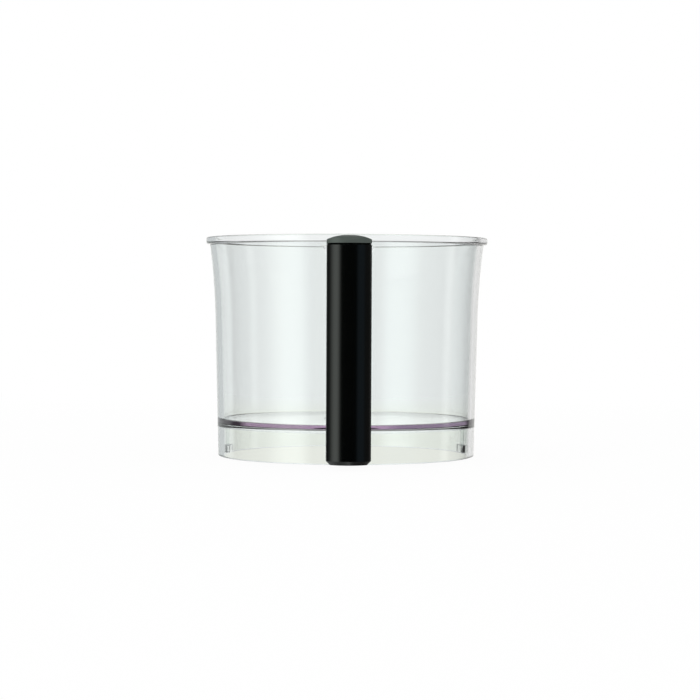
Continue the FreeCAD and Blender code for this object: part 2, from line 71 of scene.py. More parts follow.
# Ends every tree: instances made real, material set
def closeTree(tree, geometry, material):
    real = addNode(tree, "GeometryNodeRealizeInstances", {"Geometry": geometry})
    dressed = addNode(tree, "GeometryNodeSetMaterial", {"Geometry": real.outputs[0], "Material": material})
    addNode(tree, "NodeGroupOutput", {"Geometry": dressed.outputs[0]})


def newObject(name, mesh):
    made = bpy.data.objects.new(name, mesh)
    bpy.context.scene.collection.objects.link(made)
    return made


# Runs a tree on an object and keeps the result as its plain mesh
def runTree(thing, tree, values):
    modifier = thing.modifiers.new(tree.name, "NODES")
    modifier.node_group = tree
    for item in tree.interface.items_tree:
        if item.in_out == "INPUT" and item.name in values:
            modifier[item.identifier] = values[item.name]
    keepResult(thing)


def keepResult(thing):
    depsgraph = bpy.context.evaluated_depsgraph_get()
    result = bpy.data.meshes.new_from_object(thing.evaluated_get(depsgraph))
    thing.modifiers.clear()
    result.name = thing.name
    thing.data = result


def dropObjects(*things):
    for thing in things:
        bpy.data.objects.remove(thing, do_unlink=True)


def volumeOf(mesh):
    work = bmesh.new()
    work.from_mesh(mesh)
    amount = work.calc_volume(signed=True)
    work.free()
    return amount


# Points on the circle through three points, without its two ends
def arcBetween(start, middle, stop, steps):
    ax, ay = middle[0] - start[0], middle[1] - start[1]
    bx, by = stop[0] - start[0], stop[1] - start[1]
    cross = 2 * (ax * by - ay * bx)
    ux = (by * (ax * ax + ay * ay) - ay * (bx * bx + by * by)) / cross
    uy = (ax * (bx * bx + by * by) - bx * (ax * ax + ay * ay)) / cross
    centre = (start[0] + ux, start[1] + uy)
    radius = math.hypot(ux, uy)
    first = math.atan2(-uy, -ux)
    last = math.atan2(stop[1] - centre[1], stop[0] - centre[0])
    sweep = (last - first) % (2 * math.pi)
    if cross < 0:
        sweep -= 2 * math.pi
    return [(centre[0] + radius * math.cos(first + sweep * n / steps),
             centre[1] + radius * math.sin(first + sweep * n / steps)) for n in range(1, steps)]


# A closed block between two loops of points in millimetres, its edges eased by a small bevel
def loftBlock(name, lower, upper, ease):
    work = bmesh.new()
    rows = [[work.verts.new(Vector(spot) * mm) for spot in loop] for loop in (lower, upper)]
    count = len(lower)
    work.faces.new(rows[0])
    work.faces.new(rows[1])
    for n in range(count):
        work.faces.new((rows[0][n], rows[0][(n + 1) % count], rows[1][(n + 1) % count], rows[1][n]))
    bmesh.ops.recalc_face_normals(work, faces=work.faces)
    if ease:
        bmesh.ops.bevel(work, geom=list(work.edges), offset=ease * mm, segments=3, profile=0.5,
                        affect="EDGES", clamp_overlap=True)
    mesh = bpy.data.meshes.new(name)
    work.to_mesh(mesh)
    work.free()
    return newObject(name, mesh)


def boxBlock(name, low, high, ease):
    ring = [(low[0], low[1]), (high[0], low[1]), (high[0], high[1]), (low[0], high[1])]
    return loftBlock(name, [(x, y, low[2]) for x, y in ring], [(x, y, high[2]) for x, y in ring], ease)


def newMaterial(name, diffuse):
    material = bpy.data.materials.new(name)
    material.use_nodes = True
    material.diffuse_color = diffuse
    material.node_tree.nodes.clear()
    return material, material.node_tree


clearPlastic = {
    "ior": 1.49,
    "absorbed": (5.4, 7.6, 5.2),  # share per metre of red, green and blue
    "cast": (0.965, 1.0, 0.985),
    "waviness": 0.00001,
}


# Clear moulded polycarbonate: smooth, with the violet cast that a long way through it shows
def makeClearPlastic():
    material, tree = newMaterial("clear_polycarbonate", (0.9, 0.92, 0.95, 0.4))
    density = 10.0
    place = addNode(tree, "ShaderNodeTexCoord")
    swell = addNode(tree, "ShaderNodeTexNoise", {
        "Vector": place.outputs["Object"], "Scale": 28.0, "Detail": 1.0})
    bump = addNode(tree, "ShaderNodeBump", {
        "Height": swell.outputs[0], "Strength": 0.5, "Distance": clearPlastic["waviness"]})
    shell = addNode(tree, "ShaderNodeBsdfPrincipled", {
        "Base Color": clearPlastic["cast"] + (1,), "Roughness": 0.0, "IOR": clearPlastic["ior"],
        "Transmission Weight": 1.0, "Normal": bump.outputs[0]})
    letThrough = addNode(tree, "ShaderNodeBsdfTransparent", {"Color": (0.93, 0.94, 0.94, 1)})
    rays = addNode(tree, "ShaderNodeLightPath")
    both = addNode(tree, "ShaderNodeMixShader", {
        0: rays.outputs["Is Shadow Ray"], 1: shell.outputs[0], 2: letThrough.outputs[0]})
    depth = addNode(tree, "ShaderNodeVolumeAbsorption", {
        "Color": tuple(1 - share / density for share in clearPlastic["absorbed"]) + (1,),
        "Density": density})
    addNode(tree, "ShaderNodeOutputMaterial", {"Surface": both.outputs[0], "Volume": depth.outputs[0]})
    return material


# Moulded plastic with a fine spark-eroded grain, a slow change of gloss and slow paler patches
def makeMoulded(name, colour, gloss, grain, palerTone):
    material, tree = newMaterial(name, colour + (1,))
    place = addNode(tree, "ShaderNodeTexCoord").outputs["Object"]
    fine = addNode(tree, "ShaderNodeTexNoise", {"Vector": place, "Scale": 2600.0, "Detail": 2.0})
    slow = addNode(tree, "ShaderNodeTexNoise", {"Vector": place, "Scale": 45.0, "Detail": 3.0})
    rough = addNode(tree, "ShaderNodeMapRange", {
        "Value": slow.outputs[0], "To Min": gloss[0], "To Max": gloss[1]})
    shade = addNode(tree, "ShaderNodeMix", {
        0: slow.outputs[0], 6: colour + (1,), 7: palerTone + (1,)}, data_type="RGBA")
    bump = addNode(tree, "ShaderNodeBump", {
        "Height": fine.outputs[0], "Strength": grain, "Distance": 0.00003})
    skin = addNode(tree, "ShaderNodeBsdfPrincipled", {
        "Base Color": shade.outputs[2], "Roughness": rough.outputs[0], "IOR": 1.5,
        "Normal": bump.outputs[0]})
    addNode(tree, "ShaderNodeOutputMaterial", {"Surface": skin.outputs[0]})
    return material


# Drawn or turned steel with faint turning marks round its own length
def makeSteel(name, colour, gloss):
    material, tree = newMaterial(name, colour + (1,))
    place = addNode(tree, "ShaderNodeTexCoord").outputs["Object"]
    marks = addNode(tree, "ShaderNodeTexNoise", {"Vector": place, "Scale": 900.0, "Detail": 2.0})
    rough = addNode(tree, "ShaderNodeMapRange", {
        "Value": marks.outputs[0], "To Min": gloss - 0.07, "To Max": gloss + 0.07})
    bump = addNode(tree, "ShaderNodeBump", {
        "Height": marks.outputs[0], "Strength": 0.2, "Distance": 0.00002})
    skin = addNode(tree, "ShaderNodeBsdfPrincipled", {
        "Base Color": colour + (1,), "Metallic": 1.0, "Roughness": rough.outputs[0],
        "Normal": bump.outputs[0]})
    addNode(tree, "ShaderNodeOutputMaterial", {"Surface": skin.outputs[0]})
    return material


clearPolycarbonate = makeClearPlastic()
blackHandle = makeMoulded("black_handle", (0.0003, 0.0007, 0.0006), (0.16, 0.20), 0.25,
                          (0.0008, 0.0012, 0.0011))
# Painted top light: the cap is the same black plastic as the handle, coloured grey to stand for the light
# from above on its top
capPaintedTopLight = makeMoulded("grey_cap", (0.060, 0.075, 0.066), (0.38, 0.46), 0.4, (0.072, 0.088, 0.078))
whiteAcetal = makeMoulded("white_acetal", (0.76, 0.76, 0.73), (0.30, 0.38), 0.2, (0.80, 0.80, 0.77))
screwSteel = makeSteel("screw_steel", (0.62, 0.60, 0.56), 0.32)
springSteel = makeSteel("spring_steel", (0.56, 0.56, 0.57), 0.28)
print("finishes made")


bowl = {
    "skirtRadius": 89.4, "waistRadius": 91.6, "neckRadius": 95.5, "rimRadius": 98.1,
    "rimHeight": 151.4, "flareStart": 95.0, "beadBase": 146.5, "beadUnder": 2.0, "beadRound": 0.9,
    "wall": 4.2, "seatRadius": 92.5, "ledge": 146.6, "seatLead": 0.31, "leadFoot": 144.3,
    "floorBase": 23.2, "floorTop": 25.7, "floorRound": 0.9, "baseRound": 3.0,
    "boreRadius": 9.5, "tubeRadius": 12.5, "tubeTop": 60.0, "tubeFoot": 17.2, "tubeDraft": 0.6,
    "tubeRound": 4.0,
    "stepsRound": 256, "stepsInBend": 8,
}
lug = {"angles": (270, 6, 90, 178), "width": 15.0, "depth": 4.0, "low": 1.5, "high": 6.7,
       "ribThick": 1.4, "ribDepth": 2.6, "ease": 0.5}
bracket = {
    "gussetNarrow": 10.6, "gussetHalf": 18.2, "gussetLow": 130.5, "gussetHigh": 144.1,
    "gussetReach": 104.0, "gussetDraft": 4.5, "tongueHalf": 11.65, "tongueReach": 122.0,
    "upperTongue": (123.25, 132.5), "lowerTongue": (8.65, 25.25),
    "coreHalf": 8.65, "core": (11.65, 22.25), "coreFoot": 111.0,
    "pilotRadius": 1.75, "upperPilot": (112.0, 122.0, 131.5), "lowerPilot": (104.0, 7.4, 16.9),
    "ease": 0.6,
}


# Section of the wall, rim, floor and drive tube: radius, height and rounding of each corner
def bowlSection():
    b = bowl
    slope = (b["waistRadius"] - b["skirtRadius"]) / b["flareStart"]
    flare = b["waistRadius"] + (b["neckRadius"] - b["waistRadius"]) / 4
    flare += slope * (b["beadBase"] - b["flareStart"]) / 4
    inner = b["skirtRadius"] - b["wall"]
    waist = (b["waistRadius"], b["flareStart"])
    neck = (b["neckRadius"], b["beadBase"])
    innerNeck = (b["neckRadius"] - b["wall"], b["leadFoot"])
    innerWaist = (b["waistRadius"] - b["wall"], b["flareStart"])
    corners = [(b["skirtRadius"], 0, 0.6), waist + (0,)]
    corners += [spot + (0,) for spot in arcBetween(
        waist, (flare, (waist[1] + neck[1]) / 2), neck, 16)]
    corners += [
        neck + (0.4,),
        (b["rimRadius"], b["beadBase"], b["beadUnder"]),
        (b["rimRadius"], b["rimHeight"], b["beadRound"]),
        (b["seatRadius"], b["rimHeight"], 0.6),
        (b["seatRadius"], b["ledge"], 0.3),
        (innerNeck[0] + b["seatLead"], b["ledge"], 0.3),
        innerNeck + (0,),
    ]
    corners += [spot + (0,) for spot in arcBetween(
        innerNeck, (flare - b["wall"], (innerNeck[1] + innerWaist[1]) / 2), innerWaist, 16)]
    corners += [
        innerWaist + (0,),
        (inner + slope * b["floorTop"], b["floorTop"], b["floorRound"]),
        (b["tubeRadius"], b["floorTop"], b["tubeRound"]),
        (b["tubeRadius"] - b["tubeDraft"], b["tubeTop"], 0.9),
        (b["boreRadius"], b["tubeTop"], 0.7),
        (b["boreRadius"], b["tubeFoot"], 0.5),
        (b["tubeRadius"], b["tubeFoot"], 0.7),
        (b["tubeRadius"], b["floorBase"], 1.0),
        (inner + slope * b["floorBase"], b["floorBase"], b["baseRound"]),
        (inner, 0, 0.6),
    ]
    return corners


sweepRadius = 50.0  # the circle that carries the section; any size inside the wall does


def makeSectionObject():
    corners = bowlSection()
    mesh = bpy.data.meshes.new("bowl_section")
    mesh.from_pydata([((r - sweepRadius) * mm, -z * mm, 0) for r, z, rounding in corners],
                     [(n, (n + 1) % len(corners)) for n in range(len(corners))], [])
    rounding = mesh.attributes.new("rounding", "FLOAT", "POINT")
    rounding.data.foreach_set("value", [corner[2] * mm for corner in corners])
    return newObject("bowl_section", mesh)


# Bayonet lugs and ribs stand unevenly at four points round the skirt, so the bowl goes on one way
def makeLugPoints():
    inner = bowl["skirtRadius"] - bowl["wall"]
    mesh = bpy.data.meshes.new("lug_points")
    mesh.from_pydata([(inner * mm * math.cos(math.radians(a)), inner * mm * math.sin(math.radians(a)), 0)
                      for a in lug["angles"]], [], [])
    return newObject("lug_points", mesh)


# Rounds the section's corners, turns it about the axis, and joins lugs, ribs and brackets into one solid
def bowlTree():
    tree, given = newTree("turned bowl", {
        "Geometry": "Geometry", "Steps Round": "Int", "Steps In Bend": "Int", "Sweep Radius": "Float",
        "Lug Points": "Object", "Lug": "Object", "Rib": "Object", "Gusset": "Object",
        "Upper Tongue": "Object", "Lower Tongue": "Object", "Cutters": "Object", "Material": "Material"})
    section = addNode(tree, "GeometryNodeMeshToCurve", {"Mesh": given["Geometry"]})
    rounding = addNode(tree, "GeometryNodeInputNamedAttribute", {"Name": "rounding"}, data_type="FLOAT")
    soft = addNode(tree, "GeometryNodeFilletCurve", {
        "Curve": section.outputs[0], "Count": given["Steps In Bend"], "Radius": rounding.outputs[0],
        "Limit Radius": True}, mode="POLY")
    hoop = addNode(tree, "GeometryNodeCurvePrimitiveCircle", {
        "Resolution": given["Steps Round"], "Radius": given["Sweep Radius"]}, mode="RADIUS")
    turned = addNode(tree, "GeometryNodeCurveToMesh", {
        "Curve": hoop.outputs[0], "Profile Curve": soft.outputs[0]})
    outward = addNode(tree, "GeometryNodeFlipFaces", {"Mesh": turned.outputs[0]})
    spots = addNode(tree, "GeometryNodeObjectInfo", {"Object": given["Lug Points"]})
    reach = addNode(tree, "GeometryNodeInputPosition")
    facing = addNode(tree, "FunctionNodeAlignRotationToVector", {"Vector": reach.outputs[0]}, axis="X")
    parts = [outward.outputs[0]]
    for name in ("Lug", "Rib"):
        shape = addNode(tree, "GeometryNodeObjectInfo", {"Object": given[name]})
        placed = addNode(tree, "GeometryNodeInstanceOnPoints", {
            "Points": spots.outputs["Geometry"], "Instance": shape.outputs["Geometry"],
            "Rotation": facing.outputs[0]})
        real = addNode(tree, "GeometryNodeRealizeInstances", {"Geometry": placed.outputs[0]})
        parts.append(real.outputs[0])
    for name in ("Gusset", "Upper Tongue", "Lower Tongue"):
        parts.append(addNode(tree, "GeometryNodeObjectInfo", {"Object": given[name]}).outputs["Geometry"])
    joined = addNode(tree, "GeometryNodeMeshBoolean", {1: parts}, operation="UNION", solver="EXACT")
    holes = addNode(tree, "GeometryNodeObjectInfo", {"Object": given["Cutters"]})
    drilled = addNode(tree, "GeometryNodeMeshBoolean", {
        0: joined.outputs[0], 1: holes.outputs["Geometry"]}, operation="DIFFERENCE", solver="EXACT")
    bend = addNode(tree, "GeometryNodeInputMeshEdgeAngle")
    sharp = addNode(tree, "FunctionNodeCompare", {0: bend.outputs[0], 1: sharpAngle},
                    data_type="FLOAT", operation="GREATER_THAN")
    smooth = addNode(tree, "GeometryNodeSetShadeSmooth", {
        "Geometry": drilled.outputs[0], "Shade Smooth": True}, domain="FACE")
    edged = addNode(tree, "GeometryNodeSetShadeSmooth", {
        "Geometry": smooth.outputs[0], "Selection": sharp.outputs[0], "Shade Smooth": False}, domain="EDGE")
    closeTree(tree, edged.outputs[0], given["Material"])
    return tree


# Pilot holes for the two bracket screws, and the core in the lower tongue's end
def makeCutters():
    work = bmesh.new()
    for reach, low, high in (bracket["upperPilot"], bracket["lowerPilot"]):
        place = Matrix.Translation(Vector((0, -reach, (low + high) / 2)) * mm)
        bmesh.ops.create_cone(work, cap_ends=True, segments=32, radius1=bracket["pilotRadius"] * mm,
                              radius2=bracket["pilotRadius"] * mm, depth=(high - low) * mm, matrix=place)
    wide, (low, high) = bracket["coreHalf"], bracket["core"]
    near, far = bracket["tongueReach"] + 1, bracket["coreFoot"]
    size = Matrix.Diagonal(Vector((2 * wide, near - far, high - low)) * mm).to_4x4()
    place = Matrix.Translation(Vector((0, -(near + far) / 2, (low + high) / 2)) * mm)
    bmesh.ops.create_cube(work, size=1.0, matrix=place @ size)
    mesh = bpy.data.meshes.new("bracket_cutters")
    work.to_mesh(mesh)
    work.free()
    return newObject("bracket_cutters", mesh)


# The gusset's outline at its root on the neck, and drawn in all round at its front by the draft
def gussetLoops(root):
    b = bracket
    slope = (b["gussetHalf"] - b["gussetNarrow"]) / (b["gussetHigh"] - b["gussetLow"])
    loops = []
    for reach in (root, b["gussetReach"]):
        inset = math.tan(math.radians(b["gussetDraft"])) * (reach - root)
        low, high = b["gussetLow"] + inset, b["gussetHigh"] - inset
        halves = [b["gussetNarrow"] + slope * (z - b["gussetLow"]) - inset * math.hypot(1, slope)
                  for z in (low, high)]
        loops.append([(-halves[0], -reach, low), (halves[0], -reach, low),
                      (halves[1], -reach, high), (-halves[1], -reach, high)])
    return loops


def makeBowl():
    root = bowl["skirtRadius"] - bowl["wall"] / 2
    inner = bowl["skirtRadius"] - bowl["wall"]
    neck = bowl["neckRadius"] - 0.8 * bowl["wall"]
    width, low, high = lug["width"] / 2, lug["low"], lug["high"]
    half, reach = bracket["tongueHalf"], bracket["tongueReach"]
    upper, lower = bracket["upperTongue"], bracket["lowerTongue"]
    shapes = {
        "Lug": boxBlock("bayonet_lug", (-lug["depth"], -width, low), (root - inner, width, high),
                        lug["ease"]),
        "Rib": boxBlock("lug_rib", (-lug["ribDepth"], -lug["ribThick"] / 2, low + 0.3),
                        (root - inner, lug["ribThick"] / 2, bowl["floorBase"] + 1.4), lug["ease"] / 2),
        "Gusset": loftBlock("gusset", *gussetLoops(neck), bracket["ease"]),
        "Upper Tongue": boxBlock("upper_tongue", (-half, -reach, upper[0]), (half, -neck, upper[1]),
                                 bracket["ease"]),
        "Lower Tongue": boxBlock("lower_tongue", (-half, -reach, lower[0]), (half, -root, lower[1]),
                                 bracket["ease"]),
        "Lug Points": makeLugPoints(),
        "Cutters": makeCutters(),
    }
    body = makeSectionObject()
    body.name = "clear_bowl"
    runTree(body, bowlTree(), dict(shapes, **{
        "Steps Round": bowl["stepsRound"], "Steps In Bend": bowl["stepsInBend"],
        "Sweep Radius": sweepRadius * mm, "Material": clearPolycarbonate}))
    weighted = body.modifiers.new("even shading", "WEIGHTED_NORMAL")
    weighted.mode = "FACE_AREA"
    weighted.keep_sharp = True
    keepResult(body)
    dropObjects(*shapes.values())
    print("bowl faces", len(body.data.polygons), "volume mm3", round(volumeOf(body.data) * 1e9))
    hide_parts("bowl")
    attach(body, "bowl_and_handle")
    return body


clearBowl = makeBowl()


# A copy of a frame node, merged, with its flat faces whole again and its sharp edges eased;
# a shoulder is a height in millimetres and the wider rounding of the edges above it
def easedCopy(node, name, material, ease, shoulder=None, body="bowl_and_handle"):
    work = bmesh.new()
    work.from_mesh(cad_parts[node].data)
    bmesh.ops.remove_doubles(work, verts=work.verts, dist=0.000002)
    bmesh.ops.dissolve_limit(work, angle_limit=math.radians(0.4), verts=work.verts, edges=work.edges)
    if shoulder:
        high, run = shoulder
        ends = [edge for edge in work.edges if min(v.co.z for v in edge.verts) > high * mm
                and len(edge.link_faces) == 2 and edge.calc_face_angle(0) > sharpAngle]
        bmesh.ops.bevel(work, geom=ends, offset=run * mm, segments=4, profile=0.5,
                        affect="EDGES", clamp_overlap=True)
    for face in work.faces:
        face.smooth = True
        face.material_index = 0
    for edge in work.edges:
        edge.smooth = len(edge.link_faces) != 2 or edge.calc_face_angle(0) < sharpAngle
    mesh = bpy.data.meshes.new(name)
    work.to_mesh(mesh)
    work.free()
    mesh.materials.append(material)
    piece = newObject(name, mesh)
    bevel = piece.modifiers.new("eased edges", "BEVEL")
    bevel.width = ease * mm
    bevel.segments = 2
    bevel.limit_method = "ANGLE"
    bevel.angle_limit = sharpAngle
    bevel.use_clamp_overlap = True
    bevel.miter_outer = "MITER_ARC"
    weighted = piece.modifiers.new("even shading", "WEIGHTED_NORMAL")
    weighted.keep_sharp = False
    keepResult(piece)
    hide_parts(node)
    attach(piece, body)
    return piece


easedCopy("handle_front_shell", "front_shell_eased", blackHandle, ease=0.25)
easedCopy("handle_back_shell", "back_shell_eased", blackHandle, ease=0.25)
easedCopy("handle_top_cap", "top_cap_eased", capPaintedTopLight, ease=0.3, shoulder=(146.0, 2.2))
easedCopy("interlock_push_rod", "push_rod_eased", whiteAcetal, ease=0.25, body="push_rod")
print("handle dressed")

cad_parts["rod_return_spring"].data.materials.clear()
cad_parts["rod_return_spring"].data.materials.append(springSteel)


# A small round witness of the moulding gate near the foot of the front shell
gateMark = {"side": -3.9, "height": 10.1, "radius": 1.0, "stand": 0.10, "thick": 0.6,
            "faceRadius": 19.4, "tip": 138.0}


def makeGateMark():
    g = gateMark
    tilt = math.asin(g["side"] / g["faceRadius"])
    depth = g["tip"] - g["faceRadius"] * (1 - math.cos(tilt))
    facing = Vector((math.sin(tilt), -math.cos(tilt), 0))
    work = bmesh.new()
    turn = facing.to_track_quat("Z", "Y").to_matrix().to_4x4()
    middle = Vector((g["side"], -depth, g["height"])) + facing * (g["stand"] - g["thick"] / 2)
    place = Matrix.Translation(middle * mm)
    bmesh.ops.create_cone(work, cap_ends=True, segments=24, radius1=g["radius"] * mm,
                          radius2=g["radius"] * 0.82 * mm, depth=g["thick"] * mm, matrix=place @ turn)
    mesh = bpy.data.meshes.new("gate_mark")
    work.to_mesh(mesh)
    work.free()
    mesh.materials.append(blackHandle)
    piece = newObject("gate_mark", mesh)
    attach(piece, "bowl_and_handle")


makeGateMark()

# Pan-head screws with a cross recess and a rolled thread: their seats, and which way the shank points
screwSets = {
    "bracket_screws": {
        "nodes": ("upper_bracket_screw", "lower_bracket_screw"),
        "seats": ((0, -112.0, 120.5), (0, -104.0, 5.9)), "aim": (0, 0, 1),
        "radius": 1.75, "head": 3.5, "headThick": 2.2, "length": 10.0, "pitch": 1.25},
    "grip_screws": {
        "nodes": ("grip_screw_upper", "grip_screw_lower"),
        "seats": None, "aim": (0, -1, 0),
        "radius": 1.4, "head": 2.8, "headThick": 1.8, "length": 12.0, "pitch": 1.0},
}


def makeScrewProfile(screw):
    root = screw["radius"] * 0.8
    thick, head = screw["headThick"], screw["head"]
    dome = [(head * math.sin(math.radians(a)) * 0.98, -thick * (0.3 + 0.7 * math.cos(math.radians(a))))
            for a in range(0, 91, 10)]
    spots = dome + [(head, -thick * 0.22), (head, 0), (root, 0),
                    (root, screw["length"] - screw["radius"] * 1.4), (0, screw["length"])]
    mesh = bpy.data.meshes.new("screw_profile")
    mesh.from_pydata([((r - sweepRadius) * mm, -z * mm, 0) for r, z in spots],
                     [(n, n + 1) for n in range(len(spots) - 1)], [])
    return newObject("screw_profile", mesh)


def screwTree():
    tree, given = newTree("cross recess screw", {
        "Geometry": "Geometry", "Profile": "Object", "Steps Round": "Int", "Sweep Radius": "Float",
        "Thread Turns": "Float", "Thread Height": "Float", "Thread Root": "Float", "Thread Crest": "Float",
        "Thread Start": "Float", "Recess Reach": "Float", "Recess Width": "Float", "Recess Depth": "Float",
        "Head Top": "Float", "Aim": "Rotation", "Material": "Material"})
    outline = addNode(tree, "GeometryNodeObjectInfo", {"Object": given["Profile"]})
    section = addNode(tree, "GeometryNodeMeshToCurve", {"Mesh": outline.outputs["Geometry"]})
    hoop = addNode(tree, "GeometryNodeCurvePrimitiveCircle", {
        "Resolution": given["Steps Round"], "Radius": given["Sweep Radius"]}, mode="RADIUS")
    turned = addNode(tree, "GeometryNodeCurveToMesh", {
        "Curve": hoop.outputs[0], "Profile Curve": section.outputs[0]})
    closed = addNode(tree, "GeometryNodeMergeByDistance", {
        "Geometry": turned.outputs[0], "Distance": 0.000005})
    # Two crossed bars sunk in the head cut the recess
    bars = []
    depth = addNode(tree, "ShaderNodeMath", {0: given["Recess Depth"], 1: 2.0}, operation="MULTIPLY")
    for first, second in (("Recess Reach", "Recess Width"), ("Recess Width", "Recess Reach")):
        size = addNode(tree, "ShaderNodeCombineXYZ", {
            0: given[first], 1: given[second], 2: depth.outputs[0]})
        bar = addNode(tree, "GeometryNodeMeshCube", {"Size": size.outputs[0]})
        spot = addNode(tree, "ShaderNodeCombineXYZ", {2: given["Head Top"]})
        bars.append(addNode(tree, "GeometryNodeTransform", {
            "Geometry": bar.outputs["Mesh"], "Translation": spot.outputs[0]}).outputs[0])
    cut = addNode(tree, "GeometryNodeMeshBoolean", {0: closed.outputs[0], 1: bars},
                  operation="DIFFERENCE", solver="EXACT")
    # The thread runs up the shank as a ridge on a helix
    helix = addNode(tree, "GeometryNodeCurveSpiral", {
        "Resolution": 24, "Rotations": given["Thread Turns"], "Start Radius": given["Thread Root"],
        "End Radius": given["Thread Root"], "Height": given["Thread Height"]})
    upright = addNode(tree, "GeometryNodeSetCurveNormal", {"Curve": helix.outputs[0]}, mode="Z_UP")
    ridge = addNode(tree, "GeometryNodeCurvePrimitiveCircle", {
        "Resolution": 3, "Radius": given["Thread Crest"]}, mode="RADIUS")
    thread = addNode(tree, "GeometryNodeCurveToMesh", {
        "Curve": upright.outputs[0], "Profile Curve": ridge.outputs[0], "Fill Caps": True})
    lift = addNode(tree, "ShaderNodeCombineXYZ", {2: given["Thread Start"]})
    raised = addNode(tree, "GeometryNodeTransform", {
        "Geometry": thread.outputs[0], "Translation": lift.outputs[0]})
    whole = addNode(tree, "GeometryNodeJoinGeometry", {"Geometry": [cut.outputs[0], raised.outputs[0]]})
    placed = addNode(tree, "GeometryNodeInstanceOnPoints", {
        "Points": given["Geometry"], "Instance": whole.outputs[0], "Rotation": given["Aim"]})
    closeTree(tree, placed.outputs[0], given["Material"])
    return tree


def makeScrews():
    tree = screwTree()
    for name, screw in screwSets.items():
        seats = screw["seats"]
        if not seats:
            seats = []
            for node in screw["nodes"]:
                low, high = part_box(node)
                seats.append(((low[0] + high[0]) / 2 / mm, high[1] / mm - screw["headThick"],
                              (low[2] + high[2]) / 2 / mm))
        mesh = bpy.data.meshes.new(name)
        mesh.from_pydata([Vector(seat) * mm for seat in seats], [], [])
        piece = newObject(name, mesh)
        profile = makeScrewProfile(screw)
        root = screw["radius"] * 0.8
        run = screw["length"] - screw["radius"] * 1.4 - 0.8
        runTree(piece, tree, {
            "Profile": profile, "Steps Round": 48, "Sweep Radius": sweepRadius * mm,
            "Thread Turns": run / screw["pitch"], "Thread Height": run * mm, "Thread Start": 0.6 * mm,
            "Thread Root": root * mm, "Thread Crest": (screw["radius"] - root) * mm,
            "Recess Reach": screw["head"] * 1.05 * mm, "Recess Width": screw["head"] * 0.3 * mm,
            "Recess Depth": screw["headThick"] * 0.6 * mm, "Head Top": -screw["headThick"] * mm,
            "Aim": Vector(screw["aim"]).to_track_quat("Z", "Y").to_euler(), "Material": screwSteel})
        dropObjects(profile)
        work = bmesh.new()
        work.from_mesh(piece.data)
        bmesh.ops.recalc_face_normals(work, faces=work.faces)
        work.to_mesh(piece.data)
        work.free()
        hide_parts(*screw["nodes"])
        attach(piece, "bowl_and_handle")
        print(name, "faces", len(piece.data.polygons), "volume mm3", round(volumeOf(piece.data) * 1e9, 1))


makeScrews()


camera = {
    "place": (-0.0170, -1.400, 0.109), "heading": 0.799, "pitch": -1.46, "roll": 0.26, "lens": 102.9,
}
studio = {
    "plainLevel": 0.85,
    # azimuth from the camera's side in degrees, positive to the right, brightness there, and its tint
    "ring": ((-180, 1.12, "plain"), (-171, 1.12, "plain"), (-165, 0.68, "cool"), (-126, 0.68, "cool"),
             (-120, 0.10, "plain"), (-96, 0.06, "plain"), (-84, 0.07, "plain"), (-75, 0.35, "leaf"),
             (-67, 1.05, "leaf"), (-58, 1.70, "leaf"), (-48, 1.85, "leaf"), (-41, 1.55, "leaf"),
             (-36, 0.70, "leaf"), (-31, 0.01, "plain"), (28, 0.01, "plain"), (36, 0.18, "sky"),
             (58, 0.18, "sky"), (66, 0.08, "plain"), (92, 0.10, "plain"), (97, 0.85, "plain"),
             (102, 0.85, "plain"), (106, 0.08, "plain"), (138, 0.10, "plain"), (144, 0.84, "plain"),
             (165, 0.84, "plain"), (171, 1.12, "plain"), (179, 1.12, "plain")),
    "tints": {"plain": (1.0, 1.0, 0.98), "cool": (0.95, 1.0, 0.99), "leaf": (0.93, 1.0, 0.94),
              "sky": (0.70, 0.95, 1.15)},
    "overhead": 0.25,
    "skyFrom": (0.42, 0.56),  # sine of the height at which the bright ring gives way to the dim ceiling
}


def whiteWhenSeen(tree):
    rays = addNode(tree, "ShaderNodeLightPath")
    straight = addNode(tree, "ShaderNodeMath", {
        0: rays.outputs["Glossy Depth"], 1: 0.5}, operation="LESS_THAN")
    through = addNode(tree, "ShaderNodeMath", {
        0: rays.outputs["Is Transmission Ray"], 1: straight.outputs[0]}, operation="MULTIPLY")
    seen = addNode(tree, "ShaderNodeMath", {
        0: rays.outputs["Is Camera Ray"], 1: through.outputs[0]}, operation="MAXIMUM")
    return rays, seen.outputs[0]


